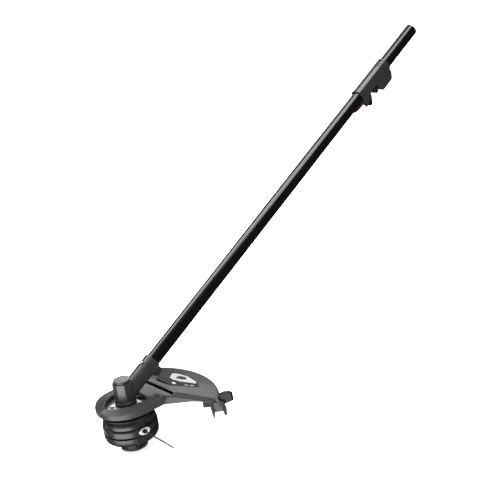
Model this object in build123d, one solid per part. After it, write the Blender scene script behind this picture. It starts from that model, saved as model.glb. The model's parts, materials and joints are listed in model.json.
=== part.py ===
from build123d import *
import math
import os

# Line trimmer head, guard, gearbox and split boom.  Millimetres, +Z up.
# Origin: centre of the bump knob's ground face, under the vertical spindle axis.
# +X runs towards the operator; the boom rises from the gearbox in the XZ plane.

# ---- driving dimensions ----
tubeR = 13.0                # 26 mm boom tube
tubeWall = 1.5
boomAngle = 30.0            # boom above the horizontal, degrees
jointZ = 104.0              # where the boom axis meets the spindle axis
lowerTubeS = (42.0, 838.0)  # stations along the boom from that point
upperTubeS = (842.0, 1000.0)
seatR = 12.8                # the upper tube's turned-down end
seatEndS = 890.0
shaftR = 3.5
spindleR = 5.0
runFit = 0.05               # radial clearance of a running fit

sleeveR = 15.8
sleeveS = (786.0, 888.0)
bodyHalfY = 12.0            # half thickness of the coupler block
earY = (3.5, 12.0)          # inner and outer face of each clamping ear
clampBoltSN = (797.0, 24.5)     # station along the boom, offset to the underside
upperScrewSN = (829.5, 20.5)
clampBoltR = 3.0
knobR = 10.5
knobY = (13.0, 27.0)
buttonS = (753.0, 784.0)
buttonHalfY = 7.0
buttonStroke = 3.0
tongueHalfY = 2.9           # the button's tongue slides under the sleeve's slit
tongueEndS = 791.0

socketR = 16.0
socketEndS = 83.0
socketEarSN = (75.5, 21.5)
barrelFlat = 17.5           # half the barrel's size across its flats
barrelZ = (98.0, 133.5)
capR = 15.7
capZ = (134.5, 138.0)
flangeR = 20.0
flangeScrewR = 1.6
flangeScrewCircle = 16.5
plateZ = (86.7, 89.7)
locatingScrewS = 64.0
pinionBearingS = ((22.0, 29.0), (31.0, 38.0))
pinionBearingR = 11.0
lowerBearingZ = (91.5, 99.5)
upperBearingZ = (126.5, 132.0)
upperBearingR = 10.5
cavityR = 13.2

hubR = 56.5
hubHalfY = 57.0
hubEndX = 46.0
hubZ = (84.5, 98.5)
fanAngle = 44.5             # the guard's fan reaches this far each side of +X
fanR = 169.0
fanTop = ((85.0, 99.5), (166.0, 78.5))  # radius and height along the sloping top
fanWall = 3.0
rimZ = 62.0
panelX = 68.0               # inner edge of the guard's raised panel
rampZ = 95.5
plateScrewAt = ((-25, -9), (-25, 9), (20, -27), (20, 27))
plateScrewR = 2.1
cutterPinAt = ((155.0, 66.0), (174.0, 66.0))
cutterPinR = 1.5

headR = 50.5
knobBaseR = 25.0
capFloorZ = 22.0
seamZ = 42.0
ringZ = 57.0
housingTopZ = 66.0
discTopZ = 76.0
eyeletZ = 50.0
eyeletAngle = -93.0
eyeletHalf = (6.5, 11.5)    # half height and half width of the oval plate
eyeletFaceR = (49.0, 52.2)  # distance of the plate's back and front from the spindle axis
eyeletBarrelR = 5.2
eyeletRecess = (4.2, 49.8)  # radius and floor
lineR = 1.2
lineTipR = (142.0, 128.0)   # radius that each line tail reaches

pinionTeeth = 13
gearTeeth = 17
coneDistance = 19.5
toothFace = 5.0
meshGap = 0.15


# ---- helpers ----
def rod(radius, z0, z1):
    return Pos(0, 0, z0) * Cylinder(radius, z1 - z0, align=(Align.CENTER, Align.CENTER, Align.MIN))


def ring(outer, inner, z0, z1):
    return rod(outer, z0, z1) - rod(inner, z0 - 1, z1 + 1)


def block(x0, x1, y0, y1, z0, z1):
    centre = ((x0 + x1) / 2, (y0 + y1) / 2, (z0 + z1) / 2)
    return Pos(*centre) * Box(x1 - x0, y1 - y0, z1 - z0)


def turned(points):
    """Solid of revolution about Z from (radius, height) points."""
    face = make_face(Polyline([(r, 0, z) for r, z in points], close=True))
    return revolve(face, Axis.Z, 360)


def prism(points, z0, z1):
    face = make_face(Polyline([(x, y, z0) for x, y in points], close=True))
    return extrude(face, z1 - z0, dir=(0, 0, 1))


def across(points, y0, y1):
    """Plate between two Y planes from (station, underside offset) points, in the boom's frame."""
    face = make_face(Polyline([(n, y0, s) for s, n in points], close=True))
    return extrude(face, y1 - y0, dir=(0, 1, 0))


def cross_rod(radius, station, offset, y0, y1):
    return Pos(offset, 0, station) * Rot(-90, 0, 0) * rod(radius, y0, y1)


rise = math.radians(boomAngle)
boomPlane = Plane(
    origin=(0, 0, jointZ),
    x_dir=(math.sin(rise), 0, -math.cos(rise)),
    z_dir=(math.cos(rise), 0, math.sin(rise)),
)


def on_boom(shape):
    return boomPlane.location * shape


# ---- boom and coupler, drawn in the boom's frame: x underside, y across, z along ----
def tube(span):
    return ring(tubeR, tubeR - tubeWall, *span)


def upper_tube():
    """The stretch inside the coupler is turned down a little to seat in it."""
    start, end = upperTubeS
    seat = ring(seatR, tubeR - tubeWall, start, seatEndS)
    return seat + ring(tubeR, tubeR - tubeWall, seatEndS, end)


def bushings(stations):
    rings = [ring(tubeR - tubeWall, shaftR + runFit, s, s + 16) for s in stations]
    return Compound(children=rings)


def coupler_sleeve():
    start, end = sleeveS
    body = rod(sleeveR, start, end)
    for station in (867.0, 874.0, 881.0):
        body -= ring(sleeveR + 2, sleeveR - 0.8, station, station + 1.6)
    body += rod(sleeveR + 0.7, start, start + 2.5)
    blockShape = [(887, 0), (887, 22), (878, 33), (845, 33), (836.5, 22.5), (836.5, 0)]
    plate = across(blockShape, -bodyHalfY, bodyHalfY)
    plate = fillet(plate.edges().filter_by(Axis.Y).sort_by(Axis.X)[-2:], 4.0)
    ear = [(814, 0), (812, 18.0), (800.5, 29.0), (793.0, 28.2), (start, 19.0), (start, 0)]
    lugs = across(ear, -bodyHalfY, bodyHalfY)
    lugs = fillet(lugs.edges().filter_by(Axis.Y).sort_by(Axis.X)[-2:], 4.0)
    screwLug = cross_rod(5.2, *upperScrewSN, -bodyHalfY + 2, bodyHalfY - 2)
    bridge = across([(836.5, 0), (836.5, 21), (829.5, 21), (822, 17), (813, 17), (813, 0)], -9, 9)
    body += plate + lugs + screwLug + bridge
    body -= block(8, 40, -earY[0], earY[0], start - 1, 824)
    body -= rod(tubeR + runFit, start - 1, upperTubeS[0] - 2)
    body -= rod(seatR, upperTubeS[0] - 2, end + 5)
    body -= rod(tubeR + 1.2, start - 1, start + 1)
    body -= cross_rod(clampBoltR + 0.3, *clampBoltSN, -20, 20)
    body -= cross_rod(5.6, *clampBoltSN, -20, -bodyHalfY + 2.5)
    body -= cross_rod(2.6, *upperScrewSN, -20, 20)
    body -= cross_rod(4.0, *upperScrewSN, -20, -bodyHalfY + 4)
    return body


def clamp_bolt():
    station, offset = clampBoltSN
    shank = cross_rod(clampBoltR, station, offset, -bodyHalfY + 2.5, knobY[1] - 4)
    head = cross_rod(5.2, station, offset, -bodyHalfY - 0.6, -bodyHalfY + 2.5)
    return shank + head


def upper_screw():
    shank = cross_rod(2.4, *upperScrewSN, -bodyHalfY + 4, bodyHalfY - 2)
    head = cross_rod(3.8, *upperScrewSN, -bodyHalfY + 1.4, -bodyHalfY + 4)
    recess = cross_rod(2.0, *upperScrewSN, -bodyHalfY + 1, -bodyHalfY + 3)
    return shank + head - recess


def clamp_plate():
    shape = [(788, 17.5), (811, 17.5), (806, 36.0), (795, 36.0)]
    plate = across(shape, earY[0] - 1.8, earY[0])
    return plate - cross_rod(clampBoltR + 0.3, *clampBoltSN, -20, 20)


def clamp_knob():
    station, offset = clampBoltSN
    body = cross_rod(knobR, station, offset, *knobY)
    body = chamfer(body.edges().filter_by(GeomType.CIRCLE), 1.2)
    for i in range(8):
        turn = math.radians(i * 45.0)
        s = station + (knobR + 1.0) * math.cos(turn)
        n = offset + (knobR + 1.0) * math.sin(turn)
        body -= cross_rod(2.6, s, n, knobY[0] - 1, knobY[1] + 1)
    return body - cross_rod(5.0, station, offset, knobY[0] - 1, knobY[1] - 3)


def knob_insert():
    station, offset = clampBoltSN
    nut = cross_rod(5.0, station, offset, knobY[0], knobY[1] - 3)
    return nut - cross_rod(clampBoltR + runFit, station, offset, knobY[0] - 1, knobY[1])


def upper_shaft():
    return rod(shaftR, 850, upperTubeS[1] - 2)


def drive_socket():
    body = rod(6.5, 822, 862)
    body = chamfer(body.edges().filter_by(GeomType.CIRCLE), 0.8)
    body -= rod(shaftR, 850, 870)
    return body - block(-2.65, 2.65, -2.65, 2.65, 820, 848)


def lower_shaft():
    return rod(shaftR, 32, 819) + block(-2.45, 2.45, -2.45, 2.45, 818, 842)


def button_window():
    window = block(8, 40, -buttonHalfY - 0.3, buttonHalfY + 0.3, buttonS[0] - 0.3, buttonS[1] + 0.3)
    return window + block(8, 40, -tongueHalfY - 0.3, tongueHalfY + 0.3, buttonS[1], tongueEndS + 0.3)


def release_button():
    s0, s1 = buttonS
    dome = [(s0, 9.0), (s0, 13.2), (760, 15.8), (768, 17.2), (775, 17.4), (781, 16.2), (s1, 13.4), (s1, 9.0)]
    body = across(dome, -buttonHalfY, buttonHalfY)
    top = body.edges().filter_by(Axis.Y).sort_by(Axis.X)[-4:]
    body = fillet(top, 2.0)
    return body + block(10.5, 14.4, -tongueHalfY, tongueHalfY, s1 - 2, tongueEndS)


def button_spring():
    """Leaf spring under the button, drawn where the pressed button leaves it."""
    free = 9.0 - buttonStroke - 0.3
    strip = [(726, 11.1), (742, 11.1), (752, free), (780, free), (780, free - 0.6), (751.6, free - 0.6),
             (741.6, 10.5), (726, 10.5)]
    return across(strip, -2.5, 2.5)


# ---- gearbox ----
def octagon(half, z0, z1):
    corner = half / math.cos(math.radians(22.5))
    points = [(corner * math.cos(math.radians(22.5 + 45 * i)),
               corner * math.sin(math.radians(22.5 + 45 * i))) for i in range(8)]
    return prism(points, z0, z1)


def gearbox_housing():
    barrel = octagon(barrelFlat, *barrelZ) & rod(barrelFlat + 0.9, *barrelZ)
    base = turned([(0, plateZ[1]), (flangeR, plateZ[1]), (flangeR, 96.5), (18.6, 98.5), (18.6, 100.5), (0, 100.5)])
    socket = rod(socketR, 0, socketEndS)
    for station in (37.0, 65.5):
        socket -= ring(socketR + 2, socketR - 0.9, station, station + 1.6)
    shape = [(61, 0), (61, 15), (68, 26.5), (79, 26.5), (socketEndS, 22), (socketEndS, 0)]
    ear = across(shape, -8.5, 8.5)
    body = barrel + base + on_boom(socket + ear)
    body -= rod(cavityR, 99.0, 140)
    body -= rod(cavityR, lowerBearingZ[0], 99.5)
    body -= rod(9.0, plateZ[1] - 1, 92)
    body -= on_boom(rod(9.6, 6, 30))
    body -= on_boom(rod(pinionBearingR, pinionBearingS[0][0], 41))
    body -= on_boom(rod(tubeR, 40.5, socketEndS + 1))
    body -= on_boom(block(10, 40, -1.2, 1.2, 58, socketEndS + 1))
    station, offset = socketEarSN
    body -= on_boom(cross_rod(2.7, station, offset, -12, 12))
    body -= on_boom(cross_rod(4.6, station, offset, -12, -5.5))
    body -= on_boom(Pos(0, 0, locatingScrewS) * Rot(0, -90, 0) * rod(2.5, 10, 20))
    return body


def gearbox_cap():
    lid = turned([(0, capZ[0]), (capR - 0.5, capZ[0]), (capR, capZ[0] + 0.5), (capR, capZ[1] - 0.8),
                  (capR - 0.8, capZ[1]), (0, capZ[1])])
    neck = rod(capR - 0.9, barrelZ[1], capZ[0])
    spigot = ring(cavityR, upperBearingR, upperBearingZ[0], barrelZ[1])
    return lid + neck + spigot


def socket_clamp_bolt():
    station, offset = socketEarSN
    bolt = cross_rod(2.7, station, offset, -5.5, 8.5) + cross_rod(4.4, station, offset, -8.2, -5.5)
    bolt -= cross_rod(2.2, station, offset, -9, -6.4)
    return on_boom(bolt)


def locating_screw():
    screw = rod(2.5, tubeR, socketR) + rod(3.6, socketR, socketR + 2.6)
    screw -= rod(1.5, socketR + 1.2, socketR + 4)
    return on_boom(Pos(0, 0, locatingScrewS) * Rot(0, -90, 0) * screw)


def bearing(outer, inner, z0, z1):
    body = ring(outer, inner, z0, z1)
    middle = (outer + inner) / 2
    body -= ring(middle + 1.6, middle - 1.6, z1 - 0.4, z1 + 1)
    return body - ring(middle + 1.6, middle - 1.6, z0 - 1, z0 + 0.4)


ratio = gearTeeth / pinionTeeth
gearCone = math.atan(math.sin(math.radians(60)) / (math.cos(math.radians(60)) + 1 / ratio))
pinionCone = math.radians(60) - gearCone


def bevel(cone, teeth, hubBack):
    """Toothed cone with its apex at the origin, opening along +Z."""
    far, near = coneDistance, coneDistance - toothFace
    tip = cone - math.asin(meshGap / coneDistance)
    outline = [(0, near * math.cos(tip)), (near * math.sin(tip), near * math.cos(tip)),
               (far * math.sin(tip), far * math.cos(tip)),
               (far * math.sin(tip) - 2.0, far * math.cos(tip) + 2.0 * math.tan(cone)),
               (0, far * math.cos(tip) + 2.0 * math.tan(cone))]
    body = turned(outline)
    top = far * math.cos(tip) + 2.0 * math.tan(cone)
    body += rod(far * math.sin(tip) * 0.62, top - 0.1, top + hubBack)
    width = 2 * math.pi * far * math.sin(cone) / teeth * 0.46
    for i in range(teeth):
        slot = Rot(0, math.degrees(cone), 0) * block(-1.7, 3.0, -width / 2, width / 2, near - 1, far + 4)
        body -= Rot(0, 0, 360 / teeth * i) * slot
    return body


def bevel_gear():
    gear = bevel(gearCone, gearTeeth, 1.6) - rod(spindleR, 0, 60)
    return Pos(0, 0, jointZ) * gear


def bevel_pinion():
    pinion = bevel(pinionCone, pinionTeeth, 0.5)
    pinion += rod(spindleR - runFit, 18, 39)
    return on_boom(pinion - rod(shaftR, 32, 60))


def output_shaft():
    return rod(spindleR, 50.0, 132.0)


# ---- guard ----
def opening():
    """Outline of the opening around the gearbox, rounded towards the front."""
    side = [(-39, 11), (-28, 22.5), (-11, 31.5), (10, 35.5), (24, 34), (28, 20)]
    return [(-44, 0)] + side + [(29, 0)] + [(x, -y) for x, y in reversed(side)]


def hub_face(radius, half, endX, z0, z1):
    return rod(radius, z0, z1) + block(0, endX, -half, half, z0, z1)


def fan_layer(drop, setBack, startX):
    """Part of the fan whose top lies below the full height and whose sides are set back."""
    (r0, z0), (r1, z1) = fanTop
    outline = [(0, 79), (120, 79), (138, 76), (155, 74), (158, rimZ), (fanR, rimZ),
               (fanR, z1 - 2.2 - drop), (r1, z1 - drop), (r0, z0 - drop), (0, z0 - drop)]
    side = math.tan(math.radians(fanAngle))
    shift = setBack / math.sin(math.radians(fanAngle))
    far = fanR + 20
    wedge = [(startX, -side * (startX - shift)), (far, -side * (far - shift)),
             (far, side * (far - shift)), (startX, side * (startX - shift))]
    return turned(outline) & prism(wedge, 55, 105)


def label_face(inset, z0, z1):
    points = [(94 + inset, 16 - inset), (94 + inset, -16), (97 + inset, -38), (112, -68 + 2 * inset),
              (123 - inset, -36), (125 - inset, 0), (119 - inset, 30 - inset)]
    return prism(points, z0, z1)


def cone_slab(above, thick):
    (r0, z0), (r1, z1) = fanTop
    return turned([(60, z0 + above - thick), (r0, z0 + above - thick), (r1, z1 + above - thick),
                   (r1, z1 + above), (r0, z0 + above), (60, z0 + above)])


def guard_shell():
    hub = hub_face(hubR, hubHalfY, hubEndX, *hubZ)
    hub = fillet(hub.faces().sort_by(Axis.Z)[-1].edges(), 3.0)
    fan = fan_layer(7.0, 0, hubEndX - 2) + fan_layer(4.6, 2.2, hubEndX) + fan_layer(2.4, 4.4, panelX - 3)
    fan += fan_layer(0, 6.6, panelX)
    side = math.tan(math.radians(fanAngle))
    rampSide = [(hubEndX - 12, -44), (hubEndX, -side * hubEndX), (panelX, -side * panelX + 6),
                (panelX, side * panelX - 6), (hubEndX, side * hubEndX), (hubEndX - 12, 44)]
    ramp = prism(rampSide, 90, rampZ)
    shell = hub + fan + ramp
    (r0, z0), (r1, z1) = fanTop
    hollow = turned([(0, 50), (fanR - fanWall, 50), (fanR - fanWall, z1 - 2.2 - 4.5 - fanWall),
                     (r1 - 4, z1 - 4.0 - fanWall), (r0, z0 - 4.0 - fanWall - 3.5), (0, z0 - 4.0 - fanWall - 3.5)])
    inner = 58.0
    shift = (fanWall + 3.0) / math.sin(math.radians(fanAngle))
    far = fanR + 20
    wedge = [(inner, -side * (inner - shift)), (far, -side * (far - shift)),
             (far, side * (far - shift)), (inner, side * (inner - shift))]
    shell -= hollow & prism(wedge, 40, 105)
    shell -= hub_face(hubR - 4, hubHalfY - 4, hubEndX - 3, hubZ[0] - 1, plateZ[1])
    shell -= prism(opening(), 60, 120)
    lip = offset(make_face(Polyline([(x, y, plateZ[1]) for x, y in opening()], close=True)), amount=3.0)
    channel = hub_face(hubR - 4, hubHalfY - 4, hubEndX - 3, plateZ[1], 95.0)
    shell -= channel - extrude(lip, 20, dir=(0, 0, 1))
    shell -= label_face(0, 60, 120) & cone_slab(1.0, 2.4)
    return shell - cutterTurn * block(152, 176, -5, 4.9, 50, 74)


def label_panel():
    return label_face(0.4, 60, 120) & cone_slab(-0.6, 0.8)


def guard_plate():
    plate = hub_face(hubR - 4.4, hubHalfY - 4.4, hubEndX - 3.4, *plateZ) - rod(9.0, 80, 95)
    for x, y in plateScrewAt:
        plate -= Pos(x, y, 0) * rod(plateScrewR, 80, 95)
    for i in range(4):
        plate -= Rot(0, 0, 45 + 90 * i) * Pos(flangeScrewCircle, 0, 0) * rod(flangeScrewR, 80, 95)
    return plate


def plate_screws():
    screws = []
    for x, y in plateScrewAt:
        screw = rod(plateScrewR, plateZ[0] - 1, plateZ[1]) + rod(3.8, plateZ[1], plateZ[1] + 2.2)
        screws.append(Pos(x, y, 0) * screw)
    return Compound(children=screws)


def flange_screws():
    screw = rod(flangeScrewR, plateZ[0] - 3, plateZ[1]) + rod(3.0, plateZ[0] - 5.0, plateZ[0] - 3)
    screws = [Rot(0, 0, 45 + 90 * i) * Pos(flangeScrewCircle, 0, 0) * screw for i in range(4)]
    return Compound(children=screws)


def retainer_ring():
    body = ring(24.0, 9.0, plateZ[0] - 3, plateZ[0])
    for i in range(4):
        body -= Rot(0, 0, 45 + 90 * i) * Pos(flangeScrewCircle, 0, 0) * rod(flangeScrewR, 80, 95)
    for x, y in plateScrewAt[:2]:
        body -= Pos(x, y, 0) * rod(plateScrewR, 80, 95)
    return body


cutterTurn = Rot(0, 0, -fanAngle)


def upright(points, y0, y1):
    """Plate standing in the guard's radial side plane from (radius, height) points."""
    face = make_face(Polyline([(r, y0, z) for r, z in points], close=True))
    return cutterTurn * extrude(face, y1 - y0, dir=(0, 1, 0))


def cutter_pin(radius, y0, y1, spot):
    return cutterTurn * Pos(spot[0], 0, spot[1]) * Rot(-90, 0, 0) * rod(radius, y0, y1)


def cutter_frame():
    """Two prongs and a hook that hold the blade under the guard's side."""
    outline = [(138, 75.8), (155, 73.8), (176, 73.8), (179.5, 58), (178.5, 45), (174.5, 45), (172, 56), (172, 71.5),
               (157.5, 71.5), (157, 50), (154.5, 38), (152, 52), (150.5, 64.5), (138, 64.5)]
    frame = upright(outline, 0.0, 3.0)
    for spot in cutterPinAt:
        frame -= cutter_pin(cutterPinR, -10, 10, spot)
    return frame


def cutter_blade():
    blade = upright([(152.5, 73.5), (175.5, 73.5), (175, 53), (168, 52), (154, 51)], 3.0, 4.6)
    for spot in cutterPinAt:
        blade -= cutter_pin(cutterPinR, -10, 10, spot)
    return blade


def cutter_rivets():
    rivets = [cutter_pin(cutterPinR, 0, 4.6, spot) + cutter_pin(2.3, -1.0, 0, spot) for spot in cutterPinAt]
    return Compound(children=rivets)


def cutter_holder():
    """Block clipped over the rim's corner, outside the guard."""
    hexagon = [(163, 80), (170, 66), (178, 61), (194, 74), (193, 85), (187, 89), (177, 87)]
    (r0, z0), (r1, z1) = fanTop
    rim = turned([(120, 50), (fanR, 50), (fanR, z1 - 2.2), (r1, z1), (r0, z0), (r0, 50)])
    return upright(hexagon, 5.0, 21.0) - rim


# ---- trimmer head ----
def bump_knob():
    body = turned([(0, 0), (16, 0), (20.5, 1.5), (23, 5), (24, 10), (knobBaseR, 22), (knobBaseR, 26), (0, 26)])
    for i in range(18):
        body -= Rot(0, 0, 20 * i) * Pos(25.6, 0, 0) * rod(3.1, -1, 18)
    return body + rod(8 - runFit, 20, 40)


def spool():
    body = ring(18, 8, 26.1, 50) + ring(38, 8, 26.1, 29) + ring(38, 17, 47, 50)
    return body - rod(15.5, 34, 51)


def line_winding():
    return ring(34, 18, 29, 47)


def head_housing():
    outline = [(9.0, 46.8), (9.0, 58), (43.5, 58), (45.5, 56), (45.5, seamZ), (headR, seamZ), (headR - 0.6, 54),
               (48.3, ringZ), (47.0, ringZ), (46.2, housingTopZ), (spindleR, housingTopZ), (spindleR, 46.8)]
    body = turned(outline)
    for i in range(10):
        turn = Rot(0, 0, eyeletAngle + 14 + 36 * i)
        body -= turn * block(43, 60, -6.5, 6.5, ringZ + 1.6, housingTopZ - 1.6)
    for side in (0, 180):
        body -= at_eyelet(side) * rod(eyeletBarrelR, 40, 60)
        body -= at_eyelet(side) * eyelet_oval(eyeletFaceR[0], 60) - rod(eyeletFaceR[0], 30, 70)
    return body


def at_eyelet(side):
    """Local +Z points out of the head along one line tail."""
    return Rot(0, 0, eyeletAngle + side) * Pos(0, 0, eyeletZ) * Rot(0, 90, 0)


def eyelet_oval(r0, r1):
    return Pos(0, 0, r0 - 2) * extrude(Ellipse(*eyeletHalf), r1 - r0 + 2)


def eyelet(side):
    """Oval metal plate bent to the head's side, with the line's bore in a round recess."""
    inner, outer = eyeletFaceR
    plate = (at_eyelet(side) * eyelet_oval(inner, 60)) & ring(outer, inner, 30, 70)
    barrel = rod(eyeletBarrelR, 44.5, eyeletRecess[1])
    body = plate + at_eyelet(side) * barrel
    body -= at_eyelet(side) * rod(eyeletRecess[0], eyeletRecess[1] - 0.1, 60)
    return body - at_eyelet(side) * rod(lineR + 0.5, 40, 60)


def lower_cap():
    outer = [(26, capFloorZ), (36, capFloorZ), (43.5, 24.0), (48, 27.5), (50, 33), (headR, seamZ)]
    inner = [(headR - 3.2, seamZ), (47.0, 34), (45.2, 30.5), (42.0, 27.5), (39.5, 25.5), (26, 25.5)]
    return turned(outer + inner)


def deflector_disc():
    return turned([(spindleR, housingTopZ), (44, housingTopZ), (47, 67.5), (48.8, 72), (48, 75), (46, discTopZ),
                   (spindleR, discTopZ)])


def drive_collar():
    return ring(14.0, spindleR, discTopZ, 80.5)


def bump_spring():
    return ring(13.0, 11.0, 42.5, 58)


def line_tail(reach, side):
    body = rod(lineR, 44.0, reach)
    return Rot(0, 0, eyeletAngle + side) * Pos(0, 0, eyeletZ) * Rot(0, 90, 0) * body


parts = {
    "upper_tube": on_boom(upper_tube()),
    "coupler_sleeve": on_boom(coupler_sleeve()),
    "coupler_clamp_bolt": on_boom(clamp_bolt()),
    "coupler_upper_screw": on_boom(upper_screw()),
    "coupler_clamp_plate": on_boom(clamp_plate()),
    "upper_shaft_bushings": on_boom(bushings((900.0, 972.0))),
    "clamp_knob": on_boom(clamp_knob()),
    "clamp_knob_nut": on_boom(knob_insert()),
    "upper_drive_shaft": on_boom(upper_shaft()),
    "drive_socket": on_boom(drive_socket()),
    "lower_tube": on_boom(tube(lowerTubeS) - button_window()),
    "lower_shaft_bushings": on_boom(bushings((110.0, 330.0, 550.0, 700.0))),
    "release_button": on_boom(release_button()),
    "button_spring": on_boom(button_spring()),
    "lower_drive_shaft": on_boom(lower_shaft()),
    "bevel_pinion": bevel_pinion(),
    "gearbox_housing": gearbox_housing(),
    "gearbox_cap": gearbox_cap(),
    "socket_clamp_bolt": socket_clamp_bolt(),
    "tube_locating_screw": locating_screw(),
    "pinion_bearing_inner": on_boom(bearing(pinionBearingR, spindleR, *pinionBearingS[0])),
    "pinion_bearing_outer": on_boom(bearing(pinionBearingR, spindleR, *pinionBearingS[1])),
    "pinion_circlip": on_boom(ring(pinionBearingR, 8.5, 38.0, 39.2)),
    "output_bearing_lower": bearing(cavityR, spindleR + runFit, *lowerBearingZ),
    "output_bearing_upper": bearing(upperBearingR, spindleR + runFit, *upperBearingZ),
    "output_seal": ring(9.0, spindleR + 0.1, plateZ[1] - 2, 91.5),
    "guard_plate": guard_plate(),
    "plate_screws": plate_screws(),
    "plate_retainer_ring": retainer_ring(),
    "flange_screws": flange_screws(),
    "guard_shell": guard_shell(),
    "label_panel": label_panel(),
    "cutter_blade": cutter_blade(),
    "cutter_frame": cutter_frame(),
    "cutter_rivets": cutter_rivets(),
    "cutter_holder": cutter_holder(),
    "output_shaft": output_shaft(),
    "bevel_gear": bevel_gear(),
    "drive_collar": drive_collar(),
    "deflector_disc": deflector_disc(),
    "head_housing": head_housing(),
    "line_eyelet_front": eyelet(0),
    "line_eyelet_back": eyelet(180),
    "lower_cap": lower_cap(),
    "bump_spring": bump_spring(),
    "bump_knob": bump_knob(),
    "spool": spool(),
    "line_winding": line_winding(),
    "line_tail_front": line_tail(lineTipR[0], 0),
    "line_tail_back": line_tail(lineTipR[1], 180),
}

os.makedirs("parts", exist_ok=True)
for name, shape in parts.items():
    export_step(shape, f"parts/{name}.step")
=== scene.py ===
# String trimmer front end: line head, gearbox, guard and split boom, in a plain pale studio.
import bpy
import bmesh
import json
import math
from mathutils import Matrix, Vector

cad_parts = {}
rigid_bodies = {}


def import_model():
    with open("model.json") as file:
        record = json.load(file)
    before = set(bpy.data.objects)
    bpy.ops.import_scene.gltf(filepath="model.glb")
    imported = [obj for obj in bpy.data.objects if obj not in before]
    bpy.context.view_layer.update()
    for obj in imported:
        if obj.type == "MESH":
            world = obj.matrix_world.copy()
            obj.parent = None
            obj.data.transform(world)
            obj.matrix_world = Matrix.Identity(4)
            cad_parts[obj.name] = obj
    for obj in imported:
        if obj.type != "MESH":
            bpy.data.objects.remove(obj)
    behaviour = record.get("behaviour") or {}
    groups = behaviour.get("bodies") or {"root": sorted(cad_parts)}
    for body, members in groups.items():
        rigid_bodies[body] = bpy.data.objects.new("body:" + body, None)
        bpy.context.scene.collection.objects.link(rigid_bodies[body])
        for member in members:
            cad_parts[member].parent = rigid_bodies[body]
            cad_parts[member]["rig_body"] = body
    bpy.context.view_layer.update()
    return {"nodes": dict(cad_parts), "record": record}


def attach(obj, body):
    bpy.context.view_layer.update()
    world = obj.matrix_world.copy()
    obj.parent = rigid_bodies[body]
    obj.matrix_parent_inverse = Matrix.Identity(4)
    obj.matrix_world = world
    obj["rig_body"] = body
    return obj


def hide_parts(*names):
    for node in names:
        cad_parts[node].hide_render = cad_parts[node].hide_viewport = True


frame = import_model()
scene = bpy.context.scene
nodes = frame["nodes"]
mm = 0.001


# small helpers
# sRGB hex to the linear colour that sockets take
def hexColour(code):
    channels = [int(code[i:i + 2], 16) / 255 for i in (1, 3, 5)]
    return [c / 12.92 if c <= 0.04045 else ((c + 0.055) / 1.055) ** 2.4 for c in channels] + [1.0]


def addNode(tree, kind, settings=None, inputs=None):
    node = tree.nodes.new(kind)
    for name, value in (settings or {}).items():
        setattr(node, name, value)
    for name, value in (inputs or {}).items():
        if isinstance(value, bpy.types.NodeSocket):
            tree.links.new(value, node.inputs[name])
        else:
            node.inputs[name].default_value = value
    return node


def newMaterial(name):
    material = bpy.data.materials.new(name)
    material.use_nodes = True
    material.node_tree.nodes.clear()
    return material, material.node_tree


def finishTree(tree, settings):
    shader = addNode(tree, "ShaderNodeBsdfPrincipled", inputs=settings)
    addNode(tree, "ShaderNodeOutputMaterial", inputs={"Surface": shader.outputs["BSDF"]})


# materials
# a base colour and a roughness that vary a little in broad patches, with a fine grain in the bump
def grainedMaterial(name, spec):
    material, tree = newMaterial(name)
    coords = addNode(tree, "ShaderNodeTexCoord").outputs["Object"]
    perMetre = 1000 / spec["grainMm"]
    fine = addNode(tree, "ShaderNodeTexNoise", inputs={
        "Vector": coords, "Scale": perMetre, "Detail": 3.0, "Roughness": 0.6}).outputs["Fac"]
    broad = addNode(tree, "ShaderNodeTexNoise", inputs={
        "Vector": coords, "Scale": 1000 / spec["patchMm"], "Detail": 4.0}).outputs["Fac"]
    colour = addNode(tree, "ShaderNodeMix", {"data_type": "RGBA"}, {
        "Factor": broad, "A": hexColour(spec["dark"]), "B": hexColour(spec["light"])})
    low, high = spec["rough"]
    rough = addNode(tree, "ShaderNodeMapRange", inputs={
        "Value": broad, "From Min": 0.3, "From Max": 0.7, "To Min": low, "To Max": high}).outputs["Result"]
    bump = addNode(tree, "ShaderNodeBump", inputs={
        "Height": fine, "Strength": spec["bump"], "Distance": spec["depthMm"] * mm}).outputs["Normal"]
    settings = {"Base Color": colour.outputs["Result"], "Roughness": rough, "Normal": bump,
                "Metallic": spec.get("metallic", 0.0)}
    for key, socket in (("ior", "IOR"), ("coat", "Coat Weight"), ("coatRough", "Coat Roughness")):
        if key in spec:
            settings[socket] = spec[key]
    finishTree(tree, settings)
    return material


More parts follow.
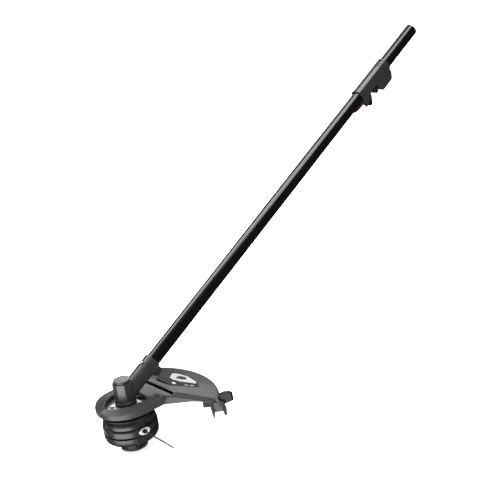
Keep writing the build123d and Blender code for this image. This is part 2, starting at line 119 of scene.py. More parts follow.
# sizes in millimetres; real moulded grain is nearer 0.1 mm and is drawn coarser so that it shows
finishes = {
    "baked gloss enamel on aluminium tube": {     # deep black with a sharp streak and faint orange peel
        "dark": "#08080a", "light": "#0c0c0e", "grainMm": 3.0, "patchMm": 60, "rough": (0.16, 0.2),
        "bump": 0.06, "depthMm": 0.05, "ior": 1.5},
    "moulded glass-filled nylon, coupler": {      # black with a fairly sharp sheen
        "dark": "#202021", "light": "#282829", "grainMm": 0.6, "patchMm": 30, "rough": (0.18, 0.23),
        "bump": 0.12, "depthMm": 0.04, "ior": 1.55},
    "moulded nylon, line head": {                 # softer sheen, so each ring carries a broad highlight
        "dark": "#1a1a1c", "light": "#232325", "grainMm": 0.8, "patchMm": 30, "rough": (0.26, 0.34),
        "bump": 0.15, "depthMm": 0.04, "ior": 1.53},
    "moulded polypropylene, guard": {             # waxy dark grey with a faint moulded texture
        "dark": "#29292a", "light": "#323233", "grainMm": 0.7, "patchMm": 45, "rough": (0.34, 0.42),
        "bump": 0.35, "depthMm": 0.05, "ior": 1.49},
    "satin powder coat on die casting": {         # grey facets with a metal sheen under fine texture
        "dark": "#414143", "light": "#4c4c4e", "grainMm": 1.0, "patchMm": 25, "rough": (0.26, 0.34),
        "bump": 0.3, "depthMm": 0.06, "metallic": 0.7},
    "zinc plated sheet steel": {                  # pale plate that shows through the opening
        "dark": "#b9bab8", "light": "#cfcfcc", "grainMm": 1.5, "patchMm": 12, "rough": (0.34, 0.46),
        "bump": 0.1, "depthMm": 0.03, "metallic": 1.0},
    "black oxide steel": {                        # dim, slightly oily metal
        "dark": "#1c1c1e", "light": "#2a2a2c", "grainMm": 0.7, "patchMm": 10, "rough": (0.34, 0.44),
        "bump": 0.15, "depthMm": 0.03, "metallic": 0.8},
    "stamped spring steel blade": {               # mid grey with a soft sheen
        "dark": "#404042", "light": "#4e4e50", "grainMm": 0.8, "patchMm": 8, "rough": (0.4, 0.5),
        "bump": 0.15, "depthMm": 0.03, "metallic": 0.7},
    "ground bearing steel": {                     # bright clean rings
        "dark": "#a9a9aa", "light": "#c4c4c4", "grainMm": 0.5, "patchMm": 8, "rough": (0.2, 0.3),
        "bump": 0.05, "depthMm": 0.02, "metallic": 1.0},
    "tumbled zinc eyelet": {                      # light grey with a blurred glint
        "dark": "#c6c6c4", "light": "#dcdcd8", "grainMm": 0.6, "patchMm": 5, "rough": (0.35, 0.45),
        "bump": 0.1, "depthMm": 0.02, "metallic": 0.45},
    "machined brass": {                           # warm yellow metal
        "dark": "#a58a4a", "light": "#c0a55e", "grainMm": 0.5, "patchMm": 6, "rough": (0.25, 0.35),
        "bump": 0.05, "depthMm": 0.02, "metallic": 1.0},
    "moulded nitrile rubber": {                   # flat black
        "dark": "#121212", "light": "#1b1b1b", "grainMm": 0.8, "patchMm": 10, "rough": (0.55, 0.7),
        "bump": 0.2, "depthMm": 0.04},
    "moulded nylon, cutter holder": {             # near black and matt
        "dark": "#0d0d0e", "light": "#151516", "grainMm": 0.8, "patchMm": 20, "rough": (0.5, 0.6),
        "bump": 0.2, "depthMm": 0.04, "ior": 1.5},
    "moulded acetal, dark red": {                 # deep red, almost black in shade
        "dark": "#2c0a13", "light": "#3c0f1a", "grainMm": 0.8, "patchMm": 10, "rough": (0.28, 0.36),
        "bump": 0.1, "depthMm": 0.03, "ior": 1.48},
    "extruded nylon line": {                      # thin smoky line
        "dark": "#1c1c1d", "light": "#262627", "grainMm": 1.2, "patchMm": 8, "rough": (0.3, 0.4),
        "bump": 0.1, "depthMm": 0.03, "ior": 1.53},
    "printed polyester film, recess": {           # flat dark ground of the label
        "dark": "#161516", "light": "#1b1a1b", "grainMm": 0.6, "patchMm": 20, "rough": (0.55, 0.65),
        "bump": 0.05, "depthMm": 0.02},
    "printed polyester film, pale": {             # light ground of the warning panel
        "dark": "#b4b1b2", "light": "#c0bdbe", "grainMm": 0.6, "patchMm": 20, "rough": (0.35, 0.42),
        "bump": 0.05, "depthMm": 0.02},
    "printed polyester film, white": {            # the brightest spots on the label
        "dark": "#e4e2e0", "light": "#f0eeec", "grainMm": 0.6, "patchMm": 20, "rough": (0.35, 0.42),
        "bump": 0.05, "depthMm": 0.02},
}
materials = {name: grainedMaterial(name, spec) for name, spec in finishes.items()}
slotFinish = {
    "black_tube": "baked gloss enamel on aluminium tube",
    "black_moulding": "moulded glass-filled nylon, coupler",
    "head_moulding": "moulded nylon, line head",
    "guard_moulding": "moulded polypropylene, guard",
    "gearbox_casting": "satin powder coat on die casting",
    "bright_steel": "zinc plated sheet steel",
    "dark_steel": "black oxide steel",
    "cutter_steel": "stamped spring steel blade",
    "knob_moulding": "moulded nylon, line head",
    "brass": "machined brass",
    "bearing_steel": "ground bearing steel",
    "nitrile": "moulded nitrile rubber",
    "red_moulding": "moulded acetal, dark red",
    "label_film": "printed polyester film, recess",
    "nylon_line": "extruded nylon line",
    "eyelet_metal": "tumbled zinc eyelet",
}
for part in frame["record"]["subparts"]:
    mesh = nodes[part["node"]].data
    mesh.materials.clear()
    mesh.materials.append(materials[slotFinish[part["material_slot"]]])
print("materials on", len(nodes), "CAD nodes")


# making pieces
rise = math.radians(30)     # the boom's slope
jointZ = 104                # where the boom's axis meets the spindle's
# x towards the boom's underside, y across, z along it
boomFrame = Matrix(((math.sin(rise), 0, math.cos(rise), 0), (0, 1, 0, 0),
                    (-math.cos(rise), 0, math.sin(rise), jointZ * mm), (0, 0, 0, 1)))


def meshPiece(name, bm, finish, body, place=None, sharpDeg=32):
    if place is not None:
        bm.transform(place)
    bmesh.ops.recalc_face_normals(bm, faces=bm.faces)
    mesh = bpy.data.meshes.new(name)
    bm.to_mesh(mesh)
    bm.free()
    mesh.shade_smooth()
    mesh.set_sharp_from_angle(angle=math.radians(sharpDeg))
    mesh.materials.append(materials[finish])
    piece = bpy.data.objects.new(name, mesh)
    scene.collection.objects.link(piece)
    even = piece.modifiers.new("even shading", "WEIGHTED_NORMAL")
    even.keep_sharp = True
    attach(piece, body)
    return piece


def softenEdges(bm, widthMm, overDeg=30, segments=2):
    limit = math.radians(overDeg)
    hard = [e for e in bm.edges if len(e.link_faces) == 2 and e.calc_face_angle(0) > limit]
    bmesh.ops.bevel(bm, geom=hard, offset=widthMm * mm, segments=segments, profile=0.5,
                    affect="EDGES", clamp_overlap=True, material=-1)


# a point's third value rounds its corner by that many millimetres
def roundCorners(points, cuts=3):
    out = []
    for i, (r, z, *soft) in enumerate(points):
        size = soft[0] if soft else 0
        if not size:
            out.append((r, z))
            continue
        here = Vector((r, z))
        before = Vector(points[i - 1][:2]) - here
        after = Vector(points[(i + 1) % len(points)][:2]) - here
        size = min(size, before.length * 0.49, after.length * 0.49)
        a, b = here + before.normalized() * size, here + after.normalized() * size
        for k in range(cuts + 1):
            t = k / cuts
            spot = a * (1 - t) ** 2 + here * 2 * t * (1 - t) + b * t * t
            out.append((spot.x, spot.y))
    return out


# turns a closed (radius, height) outline about the vertical axis
def spinForm(bm, points, steps=96, cuts=3):
    loop = roundCorners(points, cuts)
    verts = [bm.verts.new((r * mm, 0, z * mm)) for r, z in loop]
    edges = [bm.edges.new((verts[i], verts[(i + 1) % len(verts)])) for i in range(len(verts))]
    bmesh.ops.spin(bm, geom=verts + edges, cent=(0, 0, 0), axis=(0, 0, 1), angle=math.tau, steps=steps,
                   use_merge=True)
    bmesh.ops.remove_doubles(bm, verts=bm.verts, dist=0.001 * mm)
    flat = [f for f in bm.faces if f.calc_area() < 1e-12]
    bmesh.ops.delete(bm, geom=flat, context="FACES_ONLY")


def spun(points, steps=96, cuts=3):
    bm = bmesh.new()
    spinForm(bm, points, steps, cuts)
    return bm


# flat outline pushed from one height to another along an axis, with its edges softened
def plateForm(points, low, high, axis="Z", soft=0.4, segments=2):
    bm = bmesh.new()
    lay = {"Z": lambda a, b, h: (a, b, h),
           "Y": lambda a, b, h: (a, h, b),
           "X": lambda a, b, h: (h, a, b)}[axis]
    base = bm.faces.new([bm.verts.new([c * mm for c in lay(a, b, low)]) for a, b in points])
    grown = bmesh.ops.extrude_face_region(bm, geom=[base])["geom"]
    up = Vector(lay(0, 0, high - low)) * mm
    bmesh.ops.translate(bm, verts=[v for v in grown if isinstance(v, bmesh.types.BMVert)], vec=up)
    bmesh.ops.recalc_face_normals(bm, faces=bm.faces)
    if soft:
        softenEdges(bm, soft, segments=segments)
    return bm


def boxForm(low, high, soft=0.4):
    corners = [(low[0], low[1]), (high[0], low[1]), (high[0], high[1]), (low[0], high[1])]
    return plateForm(corners, low[2], high[2], soft=soft)


# moves another form's faces into this one
def join(bm, other, place=None):
    if place is not None:
        other.transform(place)
    mesh = bpy.data.meshes.new("joined")
    other.to_mesh(mesh)
    other.free()
    bm.from_mesh(mesh)
    bpy.data.meshes.remove(mesh)
    return bm


# frame whose z runs across the boom, at a station and an offset to its underside
def crossAt(station, offset, y):
    spot = Matrix.Translation((offset * mm, y * mm, station * mm))
    return boomFrame @ spot @ Matrix.Rotation(-math.pi / 2, 4, "X")


slotOf = {part["node"]: part["material_slot"] for part in frame["record"]["subparts"]}


# a finished piece that stands in for one CAD node
def finishPiece(name, bm, node, place=None, finish=None, sharpDeg=32):
    piece = meshPiece(name, bm, finish or slotFinish[slotOf[node]], nodes[node]["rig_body"], place, sharpDeg)
    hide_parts(node)
    return piece


# boom
boom = {
    "tubeR": 13.0, "tubeWall": 1.5, "lower": (42.0, 838.0), "upper": (842.0, 1000.0),
    "seatR": 12.8, "seatEnd": 890,
}


def tubePoints(spec, low, high):
    inner = spec["tubeR"] - spec["tubeWall"]
    return [(inner, low, 0.3), (spec["tubeR"], low, 0.4), (spec["tubeR"], high, 0.4), (inner, high, 0.3)]


def makeBoom(spec):
    finishPiece("lowerTube", spun(tubePoints(spec, *spec["lower"])), "lower_tube", boomFrame)
    inner = spec["tubeR"] - spec["tubeWall"]
    low, high = spec["upper"]
    outer, seatR, seatEnd = spec["tubeR"], spec["seatR"], spec["seatEnd"]
    seat = [(inner, low), (seatR, low), (seatR, seatEnd), (outer, seatEnd),
            (outer, high, 0.4), (inner, high, 0.3)]
    finishPiece("upperTube", spun(seat), "upper_tube", boomFrame)


makeBoom(boom)
print("boom tubes")


# skins a row of equal sections, joined in a loop or capped at both ends
def loftForm(sections, closed=True):
    bm = bmesh.new()
    loops = [[bm.verts.new([c * mm for c in p]) for p in section] for section in sections]
    count = len(loops)
    for i in range(count if closed else count - 1):
        a, b = loops[i], loops[(i + 1) % count]
        for k in range(len(a)):
            m = (k + 1) % len(a)
            bm.faces.new((a[k], a[m], b[m], b[k]))
    if not closed:
        bm.faces.new(loops[0])
        bm.faces.new(loops[-1])
    bmesh.ops.recalc_face_normals(bm, faces=bm.faces)
    return bm


# line head
lineHead = {
    "lowerRing": [(45.6, 43.2), (49.8, 43.2, 0.5), (50.4, 44.2, 0.6), (50.4, 53.6, 0.8), (49.6, 55.6, 0.6),
                  (48.2, 56.4, 0.5), (45.6, 56.4)],
    "core": [(9, 46.8), (9, 58), (43.5, 58), (43.5, 42.6), (45.8, 42.6), (45.8, 57.4), (44.2, 58), (44.2, 67),
             (5, 67), (5, 46.8)],
    "wallRun": [(43.8, 58.3), (48.5, 58.3, 0.4), (48.4, 63.8, 1.2), (46.4, 68.4, 0.6), (43.8, 68.4)],
    "windows": ((-104, -92), (-89.5, -73), (148, 159), (161, 172),     # degrees round the upper ring
                (76, 88), (90.5, 107), (-32, -21), (-19, -8)),
    "disc": [(5, 67.2), (44.0, 67.2), (44.6, 69.6, 0.4), (48.6, 74.2, 0.5), (48.4, 75.4, 0.5),
             (46, 76, 0.6), (5, 76)],
    "cap": [(26, 22, 0.4), (36, 22, 2), (43.5, 24, 3), (48.4, 27.5, 3), (50.2, 32, 2), (50.5, 40.8, 0.8),
            (47.3, 41.3), (47, 34), (45.2, 30.5), (42, 27.5), (39.5, 25.5), (26, 25.5)],
    "latch": (-111.8, 4.0, 28.5, 42.0),     # angle, width, bottom and top
    "knob": [(0, 0), (16, 0, 2), (20.5, 1.5, 2), (22.2, 5, 2), (22.8, 10, 2), (23.4, 20, 1),
             (23.4, 26, 0.5), (0, 26)],
    "ribs": 34, "eyeletGap": 6.0, "eyeletAngle": -93, "eyeletZ": 50,
    "eyelet": {"half": (11.4, 6.4), "slot": (6.6, 4.3), "slotLean": -40, "back": 49.2, "front": 52.0},
}


# a (radius, height) section swept round the spindle between two angles
def sweepForm(section, startDeg, endDeg, steps):
    loop = roundCorners(section)
    angles = [math.radians(startDeg + (endDeg - startDeg) * i / steps) for i in range(steps + 1)]
    return loftForm([[(r * math.cos(a), r * math.sin(a), z) for r, z in loop] for a in angles], closed=False)


def makeHeadHousing(spec):
    bm = spun(spec["core"], 120)
    gap = spec["eyeletGap"]
    for side in (0, 180):
        middle = spec["eyeletAngle"] + side
        join(bm, sweepForm(spec["lowerRing"], middle + gap, middle + 180 - gap, 56))
    cuts = sorted((low % 360, high % 360) for low, high in spec["windows"])
    for i, (low, high) in enumerate(cuts):
        following = cuts[(i + 1) % len(cuts)][0] + (360 if i == len(cuts) - 1 else 0)
        join(bm, sweepForm(spec["wallRun"], high, following, max(2, int((following - high) / 3))))
    return finishPiece("headHousing", bm, "head_housing")


def makeLowerCap(spec):
    bm = spun(spec["cap"], 120)
    angle, width, low, high = spec["latch"]
    post = boxForm((46.5, -width / 2, low), (51.2, width / 2, high), soft=0.5)
    for side in (0, 180):
        join(bm, post.copy(), Matrix.Rotation(math.radians(angle + side), 4, "Z"))
    post.free()
    return finishPiece("lowerCap", bm, "lower_cap")


def makeKnob(spec):
    bm = spun(spec["knob"], 72)
    for i in range(spec["ribs"]):      # grip ribs
        rib = plateForm([(21.4, -0.9), (24.9, -0.7), (24.9, 0.7), (21.4, 0.9)], 3.0, 21, soft=0.35)
        join(bm, rib, Matrix.Rotation(math.tau * i / spec["ribs"], 4, "Z"))
    join(bm, spun([(0, 25), (7.9, 25), (7.9, 40, 0.4), (0, 40)], 32))
    return finishPiece("bumpKnob", bm, "bump_knob")


# oval plate bent to the head's side, with a slanted slot through it
def eyeletForm(spec, steps=64):
    wide, tall = spec["half"]
    longHalf, shortHalf = spec["slot"]
    lean = math.radians(spec["slotLean"])
    sections = []
    for i in range(steps):
        a = math.tau * i / steps
        rim = (wide * math.cos(a), tall * math.sin(a))
        b = a - lean
        slot = (longHalf * math.cos(b) * math.cos(lean) - shortHalf * math.sin(b) * math.sin(lean),
                longHalf * math.cos(b) * math.sin(lean) + shortHalf * math.sin(b) * math.cos(lean))
        ring = []
        back, front = spec["back"], spec["front"]
        for share, r in ((0, back), (0, front - 0.6), (0.12, front), (0.88, front + 0.2),
                         (1, front - 0.4), (1, back)):
            y = rim[0] + (slot[0] - rim[0]) * share
            z = rim[1] + (slot[1] - rim[1]) * share
            ring.append((math.sqrt(r * r - y * y), y, z))
        sections.append(ring)
    return loftForm(sections)


def makeHead(spec):
    makeHeadHousing(spec)
    finishPiece("deflectorDisc", spun(spec["disc"], 120), "deflector_disc")
    makeLowerCap(spec)
    makeKnob(spec)
    lift = Matrix.Translation((0, 0, spec["eyeletZ"] * mm))
    for name, node, side in (("frontEyelet", "line_eyelet_front", 0), ("backEyelet", "line_eyelet_back", 180)):
        turn = Matrix.Rotation(math.radians(spec["eyeletAngle"] + side), 4, "Z")
        finishPiece(name, eyeletForm(spec["eyelet"]), node, turn @ lift)


makeHead(lineHead)
print("line head")

# gearbox
gearbox = {
    "flat": 17.5, "barrel": (98.0, 133.5),
    "cap": [(0, 134.5), (14.6, 134.5, 0.3), (15.7, 134.9, 0.4), (15.7, 137.2, 0.8), (14.9, 138, 0.5), (0, 138)],
    "ear": [(61, 12), (62, 16.5), (68.5, 26.5), (79, 26.5), (82.6, 22), (82.6, 12)], "earHalfY": 8.5,
    "neck": [(0, 132), (14.7, 132), (14.7, 135), (0, 135)],
    "base": [(9, 89.8), (20, 89.8, 0.3), (20, 95.4, 1.2), (19.4, 96.6, 0.5), (18.0, 97.2, 0.8),
             (17.8, 100.5, 0.8), (9, 100.5)],
    "socket": [(13.05, 34), (13.05, 83, 0.4), (16, 83, 0.8), (16, 67.2, 0.2), (15.2, 67.0), (15.2, 65.6),
               (16, 65.4, 0.2),
               (16, 38.7, 0.2), (15.2, 38.5), (15.2, 37.1), (16, 36.9, 0.2), (16, 8), (11, 8), (11, 34)],
}


def makeGearbox(spec):
    corner = spec["flat"] / math.cos(math.pi / 8)
    turns = [math.pi * (2 * i + 1) / 8 for i in range(8)]
    ring = [(corner * math.cos(a), corner * math.sin(a)) for a in turns]
    bm = plateForm(ring, *spec["barrel"], soft=1.2, segments=3)
    join(bm, spun(spec["base"], 64))
    join(bm, spun(spec["socket"], 64), boomFrame)
    ear = plateForm(spec["ear"], -spec["earHalfY"], spec["earHalfY"], "X", 1.0)
    join(bm, ear, boomFrame @ Matrix(((0, 0, 1, 0), (1, 0, 0, 0), (0, 1, 0, 0), (0, 0, 0, 1))))
    finishPiece("gearboxHousing", bm, "gearbox_housing")
    lid = spun(spec["cap"], 64)
    join(lid, spun(spec["neck"], 64))
    finishPiece("gearboxCap", lid, "gearbox_cap")


makeGearbox(gearbox)
print("gearbox")

# guard
guard = {
    "hubR": 56.5, "hubHalfY": 57.0, "hubEndX": 46.0, "bottom": 84.5, "top": 98.5, "floor": 89.7,
    # height of the hub's outer edge, by degrees from straight ahead
    "crest": [(0, 97.6), (50, 97.6), (84, 96.3), (112, 96.2), (142, 94.0), (180, 94.0)],
    "fanAngle": 44.5, "fanR": 169.0, "rim": 62.0,
    "panelX": 68.0, "leadIn": 12.0, "leadDrop": 1.8, "setBack": 6.4,
    "foot": [(60, 79), (120, 79), (138, 76), (155, 74), (158, 62), (170, 62)],
    "bars": [(0, 3.2, 7.0, 44.0, True), (2.2, 5.4, 4.6, 46.0, False), (4.4, 7.6, 2.3, 62.0, False)],
    "ramp": [(33, 45), (46, 45), (63.5, 58)], "rampZ": (89.0, 95.5),
    "groove": [(60, 58), (76, 60)], "grooveZ": (88.0, 90.5),
    "opening": [(-44, 0), (-39, 11), (-28, 22.5), (-11, 31.5), (10, 35.5), (24, 34), (28, 20), (29, 0)],
    "fanTop": ((85, 99.5), (166, 78.5)),
}


def outerReach(spec, angle):
    c, s = math.cos(angle), abs(math.sin(angle))
    if c <= 0:
        return spec["hubR"] + 0.5 * (1 + c)
    return min(spec["hubHalfY"] / max(s, 1e-6), spec["hubEndX"] / c)


# distance from the spindle to the opening's edge in one direction
def openingReach(spec, angle):
    side = spec["opening"]
    loop = side + [(x, -y) for x, y in reversed(side[1:-1])]
    c, s = math.cos(angle), math.sin(angle)
    best = 30
    for i, (ax, ay) in enumerate(loop):
        bx, by = loop[(i + 1) % len(loop)]
        cross = c * (by - ay) - s * (bx - ax)
        if abs(cross) < 1e-9:
            continue
        reach = (ax * (by - ay) - ay * (bx - ax)) / cross
        along = (ax * s - ay * c) / cross
        if reach > 0 and -1e-6 <= along <= 1 + 1e-6:
            best = reach
    return best


# smooth change between (angle, value) stops
def between(stops, value):
    for (a, low), (b, high) in zip(stops, stops[1:]):
        if value <= b:
            t = max(value - a, 0) / (b - a)
            return low + (high - low) * t * t * (3 - 2 * t)
    return stops[-1][1]


def hubForm(spec):
    corners = [(46, 57)] + spec["opening"]
    marks = [math.tau * i / 120 for i in range(120)]
    marks += [math.atan2(side * y, x) % math.tau for x, y in corners for side in (1, -1)]
    marks.sort()
    angles = [a for i, a in enumerate(marks) if i == 0 or a - marks[i - 1] > 1e-3]
    sections = []
    for a in angles:
        ro, ri = outerReach(spec, a), openingReach(spec, a)
        fromAhead = math.degrees(min(a, math.tau - a))
        crest = between(spec["crest"], fromAhead)
        wall = roundCorners([(ro, spec["bottom"], 0.4), (ro, crest, 1.2),
                             (ri + 1.4, spec["top"], 0.8), (ri, spec["top"] - 0.8, 0.4),
                             (ri, spec["floor"]), (ri + 3, spec["floor"]), (ri + 3, 93), (ro - 3.6, 92.2),
                             (ro - 3.6, spec["bottom"])])
        sections.append([(r * math.cos(a), r * math.sin(a), z) for r, z in wall])
    return loftForm(sections)


def fanHeight(spec, r):
    (r0, z0), (r1, z1) = spec["fanTop"]
    return z0 + (z1 - z0) * max(r - r0, 0) / (r1 - r0)


# height of the side wall's lower edge at a distance from the spindle
def wallFoot(spec, r):
    foot = spec["foot"]
    for (ra, za), (rb, zb) in zip(foot, foot[1:]):
        if r <= rb:
            return za + (zb - za) * max(r - ra, 0) / (rb - ra)
    return foot[-1][1]


# one of the stepped bars along the fan's straight side
def sideBar(spec, side, low, high, drop, startX, toFoot):
    a = math.radians(spec["fanAngle"])
    along = Vector((math.cos(a), side * math.sin(a), 0))
    inward = Vector((math.sin(a), -side * math.cos(a), 0))
    start = startX / math.cos(a)
    stops = [start + (spec["fanR"] - 0.8 - start) * i / 16 for i in range(17)]
    if toFoot:
        stops = sorted(set(stops + [157.9, 158.4]))
    sections = []
    for u in stops:
        ring = []
        for d, edge in ((low, 0), (low, 1), (high, 1), (high, 0)):
            r = math.hypot(u, d)
            top = fanHeight(spec, r) - drop - max(0, (r - 164.5)) * 0.7
            under = wallFoot(spec, u) if toFoot else top - 3.4
            spot = along * u + inward * d
            ring.append((spot.x, spot.y, top if edge else min(under, top - 1.0)))
        sections.append(ring)
    bm = loftForm(sections, closed=False)
    softenEdges(bm, 0.5, overDeg=40)
    return bm


# raised panel and rim, as radial sections across the fan
def panelForm(spec):
    reach = math.radians(spec["fanAngle"])
    sections = []
    steps = 48      # sections across the fan
    for i in range(steps + 1):
        a = reach * (-1 + 2 * i / steps)
        trim = spec["setBack"] / math.sin(reach - abs(a) + 1e-9) if reach - abs(a) > 1e-6 else 1e9
        start = max(spec["panelX"] / math.cos(a), min(trim, 163))
        flat = max(start + 1, (spec["panelX"] + spec["leadIn"]) / math.cos(a))
        r1 = spec["fanTop"][1][0]
        inner = min(start + 5, max(start, 156))     # the underside stays below the sloping top
        mid = max(inner + 0.3, min(max(start + 9, 84), 159))
        outer = max(mid + 0.3, 160)
        lead = spec["leadDrop"] * (flat - start) * math.cos(a) / spec["leadIn"]
        rim, rimTop = spec["fanR"], fanHeight(spec, r1)
        points = [(start, fanHeight(spec, start) - lead), (flat, fanHeight(spec, flat)),
                  (r1 - 1.5, fanHeight(spec, r1 - 1.5)), (r1 + 0.8, rimTop - 0.7),
                  (rim - 0.6, rimTop - 1.8), (rim, rimTop - 3.4),
                  (rim, spec["rim"]), (rim - 3, spec["rim"]), (rim - 3, rimTop - 7),
                  (outer, fanHeight(spec, outer) - 6.5), (mid, min(91.0, fanHeight(spec, mid) - 6.0)),
                  (inner, min(90.0, fanHeight(spec, inner) - 6.5))]
        sections.append([(r * math.cos(a), r * math.sin(a), z) for r, z in points])
    return loftForm(sections, closed=False)


def makeGuard(spec):
    bm = hubForm(spec)
    join(bm, panelForm(spec))
    for side in (1, -1):
        for low, high, drop, startX, toFoot in spec["bars"]:
            join(bm, sideBar(spec, side, low, high, drop, startX, toFoot))
    for name, soft in (("ramp", 1.2), ("groove", 0.4)):
        side = spec[name]
        join(bm, plateForm(side + [(x, -y) for x, y in reversed(side)], *spec[name + "Z"], soft=soft))
    return finishPiece("guardShell", bm, "guard_shell", sharpDeg=25)


makeGuard(guard)
print("guard")

# label
label = {
    "recess": [(80, 14), (80, -30), (86, -36), (121, -62), (133, -40), (141, -8), (140, 22), (132, 52),
               (122, 60)],
    "film": [(126, 26), (132, 15), (136, -8), (131, -40), (126, -46), (117, -36), (108, -26), (101, -9),
             (105, 6)],
    "oval": (91.5, -25.5, 2.6, 4.8),
    "marks": {   # plain shapes in place of printing: outline, height above the film
        "disc": [(121, 2), (127, -1), (129, -9), (127, -17), (121, -20), (115, -17), (113, -9), (115, -1)],
        "bar": [(109, -10), (111, -4), (113, -4), (111, -10)],
        "wedge": [(104, -40), (108, -46), (104, -46)],
        "square": [(112, -48), (116, -52), (113, -54), (110, -50)],
    },
    "fanTop": ((85, 99.5), (166, 78.5)),
}


# a point lifted off the fan's sloping top
def onFan(spec, x, y, lift):
    (r0, z0), (r1, z1) = spec["fanTop"]
    return (x * mm, y * mm, (z0 + (z1 - z0) * (math.hypot(x, y) - r0) / (r1 - r0) + lift) * mm)


# thin film cut to an outline and laid on the fan
def filmForm(spec, points, low, high):
    bm = bmesh.new()
    bm.faces.new([bm.verts.new((x * mm, y * mm, 0)) for x, y in points])
    for axis in ((1, 0, 0), (0, 1, 0)):     # cut fine enough to follow the guard's curve
        for step in range(-16, 36):
            bmesh.ops.bisect_plane(bm, geom=bm.verts[:] + bm.edges[:] + bm.faces[:],
                                   plane_co=Vector(axis) * step * 5 * mm, plane_no=axis)
    grown = bmesh.ops.extrude_face_region(bm, geom=bm.faces[:])["geom"]
    upper = {v for v in grown if isinstance(v, bmesh.types.BMVert)}
    for vert in bm.verts:
        vert.co = onFan(spec, vert.co.x / mm, vert.co.y / mm, high if vert in upper else low)
    bmesh.ops.recalc_face_normals(bm, faces=bm.faces)
    return bm


def makeLabel(spec):
    body = nodes["label_panel"]["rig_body"]
    finishPiece("labelPanel", filmForm(spec, spec["recess"], -1.0, 0.3), "label_panel")
    parts = [("labelFilm", spec["film"], 0.55, "printed polyester film, pale")]
    x, y, a, b = spec["oval"]
    oval = [(x + a * math.cos(math.tau * i / 20), y + b * math.sin(math.tau * i / 20)) for i in range(20)]
    parts.append(("labelOval", oval, 0.6, "printed polyester film, white"))
    for name, points in spec["marks"].items():
        tone = "printed polyester film, recess" if name in ("disc", "bar") else "printed polyester film, pale"
        parts.append(("label" + name.capitalize(), points, 0.8 if name in ("disc", "bar") else 0.6, tone))
    for name, points, lift, tone in parts:
        piece = meshPiece(name, filmForm(spec, points, 0.1, lift), tone, body)


makeLabel(label)
print("label")


# a merged copy of a CAD mesh with its sharp edges softened
def softCopy(name, node, widthMm, overDeg=30, finish=None):
    bm = bmesh.new()
    bm.from_mesh(nodes[node].data)
    bmesh.ops.remove_doubles(bm, verts=bm.verts, dist=0.002 * mm)
    bmesh.ops.dissolve_limit(bm, angle_limit=math.radians(1.0), verts=bm.verts, edges=bm.edges)
    softenEdges(bm, widthMm, overDeg)
    return finishPiece(name, bm, node, finish=finish)


softCopy("cutterFrame", "cutter_frame", 0.3)

holder = {
    "outline": [(168.5, 84), (176, 87.2), (186, 87.8), (192.6, 84.6), (193.4, 70), (175, 63.6), (168, 68)],
    "depth": (5, 21), "turn": -44.5,
}


def makeHolder(spec):
    near, far = spec["depth"]
    cx = sum(x for x, z in spec["outline"]) / len(spec["outline"])
    cz = sum(z for x, z in spec["outline"]) / len(spec["outline"])
    sections = []
    for y, share, drop in ((near, 0.84, 0), (near + 2.0, 1, 0), (near + 8.0, 1, 0), (far, 0.6, 6.0)):
        sections.append([(cx + (x - cx) * share, y, cz + (z - cz) * share - drop)
                         for x, z in spec["outline"]])
    bm = loftForm(sections, closed=False)
    softenEdges(bm, 0.8, overDeg=20)
    finishPiece("cutterHolder", bm, "cutter_holder", Matrix.Rotation(math.radians(spec["turn"]), 4, "Z"),
                finish="moulded nylon, cutter holder")


makeHolder(holder)
print("cutter")

# coupler
coupler = {
    "sleeve": [(13.05, 786), (16.5, 786, 0.4), (16.5, 788.4, 0.4), (15.8, 788.8, 0.2)],
    "rings": (867.0, 874.0, 881.0), "end": 888.0,
    "block": [(887, 6), (887, 20), (885, 23.5), (880.5, 31), (877, 33), (846, 33), (843.5, 31.5),
              (837.2, 23), (836.5, 21), (836.5, 6)],
    "bridge": [(837, 8), (837, 20), (829, 19), (822, 16), (812, 16), (812, 8)],
    "ear": [(812, 6), (811.5, 12), (810, 18), (805.5, 25.5), (802.3, 29.2), (798.5, 30.4), (794.8, 29.6),
            (792.4, 26.6), (787, 18.5), (786.4, 6)],
    "earY": (3.5, 12.0), "lug": (829.5, 20.5, 5.4, 2.8), "cup": (797.0, 24.5, 5.4, 3.0),
}


# plate across the boom from (station, underside offset) points
def boomPlate(points, y0, y1, soft):
    return plateForm([(n, s) for s, n in points], y0, y1, "Y", soft)


def makeCoupler(spec):
    outline = list(spec["sleeve"])
    for station in spec["rings"]:
        outline += [(15.8, station, 0.3), (15.0, station + 0.3),
                    (15.0, station + 1.6), (15.8, station + 1.9, 0.3)]
    outline += [(15.8, spec["end"], 0.6), (12.85, spec["end"]), (12.85, 840), (13.05, 840)]
    bm = spun(outline, 72)
    join(bm, boomPlate(spec["block"], -12, 12, 0.8))
    join(bm, boomPlate(spec["bridge"], -3.4, 3.4, 0.5))
    for low, high in (spec["earY"], (-spec["earY"][1], -spec["earY"][0])):
        join(bm, boomPlate(spec["ear"], low, high, 0.6))
    bm.transform(boomFrame)
    s, n, outer, inner = spec["lug"]
    join(bm, spun([(inner, -10), (outer, -10, 0.6), (outer, 10, 0.6), (inner, 10)], 40), crossAt(s, n, 0))
    s, n, outer, inner = spec["cup"]
    lip = spun([(outer, -13.6, 0.3), (outer + 1.0, -13.6, 0.3), (outer + 1.0, -11), (outer, -11)], 40)
    join(bm, lip, crossAt(s, n, 0))
    finishPiece("couplerSleeve", bm, "coupler_sleeve")


makeCoupler(coupler)
print("coupler")

# free line
freeLine = {"angle": -93, "z": 50, "exitR": 51.5, "reach": (142.0, 128.0), "lineR": 1.2}


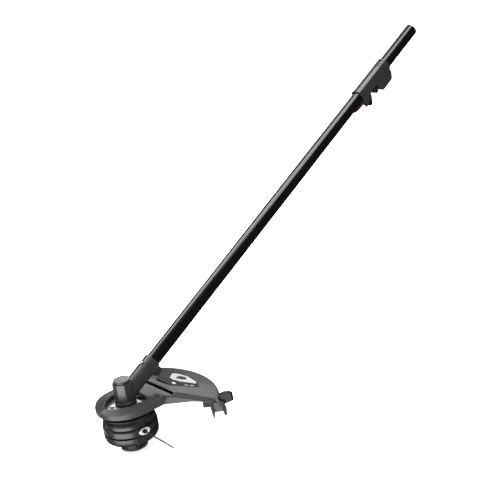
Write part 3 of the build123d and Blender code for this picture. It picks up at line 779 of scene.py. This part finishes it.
# straight stiff line from the eyelet to its cut tip
def makeLine(name, node, turnDeg, reach, spec):
    a = math.radians(turnDeg)
    out = Vector((math.cos(a), math.sin(a), 0))
    start, end = spec["exitR"], reach
    up = Vector((0, 0, spec["z"] * mm))
    spots = [out * ((start + (end - start) * t) * mm) + up for t in (0, 0.25, 0.5, 0.75, 1)]
    data = bpy.data.curves.new(name, "CURVE")
    data.dimensions = "3D"
    data.bevel_depth = spec["lineR"] * mm
    data.bevel_resolution = 4
    data.use_fill_caps = True
    spline = data.splines.new("NURBS")
    spline.points.add(len(spots) - 1)
    for point, spot in zip(spline.points, spots):
        point.co = (*spot, 1)
    spline.order_u = 3
    spline.use_endpoint_u = True
    data.materials.append(materials["extruded nylon line"])
    line = bpy.data.objects.new(name, data)
    scene.collection.objects.link(line)
    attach(line, nodes[node]["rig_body"])
    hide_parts(node)


makeLine("lineTailFront", "line_tail_front", freeLine["angle"], freeLine["reach"][0], freeLine)
makeLine("lineTailBack", "line_tail_back", freeLine["angle"] + 180, freeLine["reach"][1], freeLine)
print("free line")

# studio
camera = {"place": (-0.8156, -1.4445, 0.8954), "heading": 38.56, "tilt": 18.62, "roll": -8.55, "lensMm": 72}
studio = {
    "floorHalf": 30.0, "floorColour": "#f4f4f3", "floorGlow": 0.75,     # the glow lightens the floor's shadows
    "worldColour": "#ffffff", "worldStrength": 1.1,
    "lamps": [  # name, middle, size, aimed at, radiance
        ("overhead softbox", (-0.1, 1.7, 8.1), (3.2, 11.6), (0.35, 0.1, 0.0), 6.0),
        ("left softbox", (-1.39, -0.56, -0.39), (2.2, 1.1), (0.0, 0.0, 0.1), 4.2),
        ("left back softbox", (-0.35, 1.5, -0.35), (0.5, 0.8), (0.0, 0.0, 0.1), 1.3),
        ("back softbox", (4.54, 5.41, 3.5), (3.8, 1.5), (0.0, 0.0, 0.12), 4.5),
    ],
}


def addCamera(spec):
    data = bpy.data.cameras.new("studio camera")
    data.lens = spec["lensMm"]
    data.sensor_width = 36
    data.clip_end = 100
    shot = bpy.data.objects.new("studio camera", data)
    turn = Matrix.Rotation(math.radians(-spec["heading"]), 4, "Z")
    tip = Matrix.Rotation(math.radians(90 - spec["tilt"]), 4, "X")
    roll = Matrix.Rotation(math.radians(spec["roll"]), 4, "Z")
    shot.matrix_world = Matrix.Translation(spec["place"]) @ turn @ tip @ roll
    scene.collection.objects.link(shot)
    scene.camera = shot


def addLamp(name, middle, size, target, radiance):
    data = bpy.data.lights.new(name, "AREA")
    data.shape = "RECTANGLE"
    data.size, data.size_y = size
    data.energy = radiance * size[0] * size[1] * 4   # power that gives this radiance
    lamp = bpy.data.objects.new(name, data)
    aim = (Vector(target) - Vector(middle)).to_track_quat("-Z", "Y")
    lamp.matrix_world = Matrix.Translation(middle) @ aim.to_matrix().to_4x4()
    scene.collection.objects.link(lamp)


def addFloor(spec):
    mesh = bpy.data.meshes.new("pale floor")
    bm = bmesh.new()
    bmesh.ops.create_grid(bm, x_segments=1, y_segments=1, size=spec["floorHalf"])
    bmesh.ops.translate(bm, verts=bm.verts, vec=(0, 0, -0.2 * mm))
    bm.to_mesh(mesh)
    bm.free()
    floor = bpy.data.objects.new("pale floor", mesh)
    material, tree = newMaterial("matt painted studio floor")
    colour = hexColour(spec["floorColour"])
    finishTree(tree, {"Base Color": colour, "Roughness": 0.9, "Specular IOR Level": 0.0,
                      "Emission Color": colour, "Emission Strength": spec["floorGlow"]})
    mesh.materials.append(material)
    scene.collection.objects.link(floor)
    floor.visible_glossy = False          # keeps the paint's lower edges dark
    floor.visible_shadow = False          # the low softboxes shine past it


addCamera(camera)
addFloor(studio)
for lamp in studio["lamps"]:
    addLamp(*lamp)
world = bpy.data.worlds.new("studio air")
world.use_nodes = True
world.node_tree.nodes["Background"].inputs["Color"].default_value = hexColour(studio["worldColour"])
world.node_tree.nodes["Background"].inputs["Strength"].default_value = studio["worldStrength"]
world.cycles_visibility.glossy = False
scene.world = world
scene.view_settings.view_transform = "Standard"
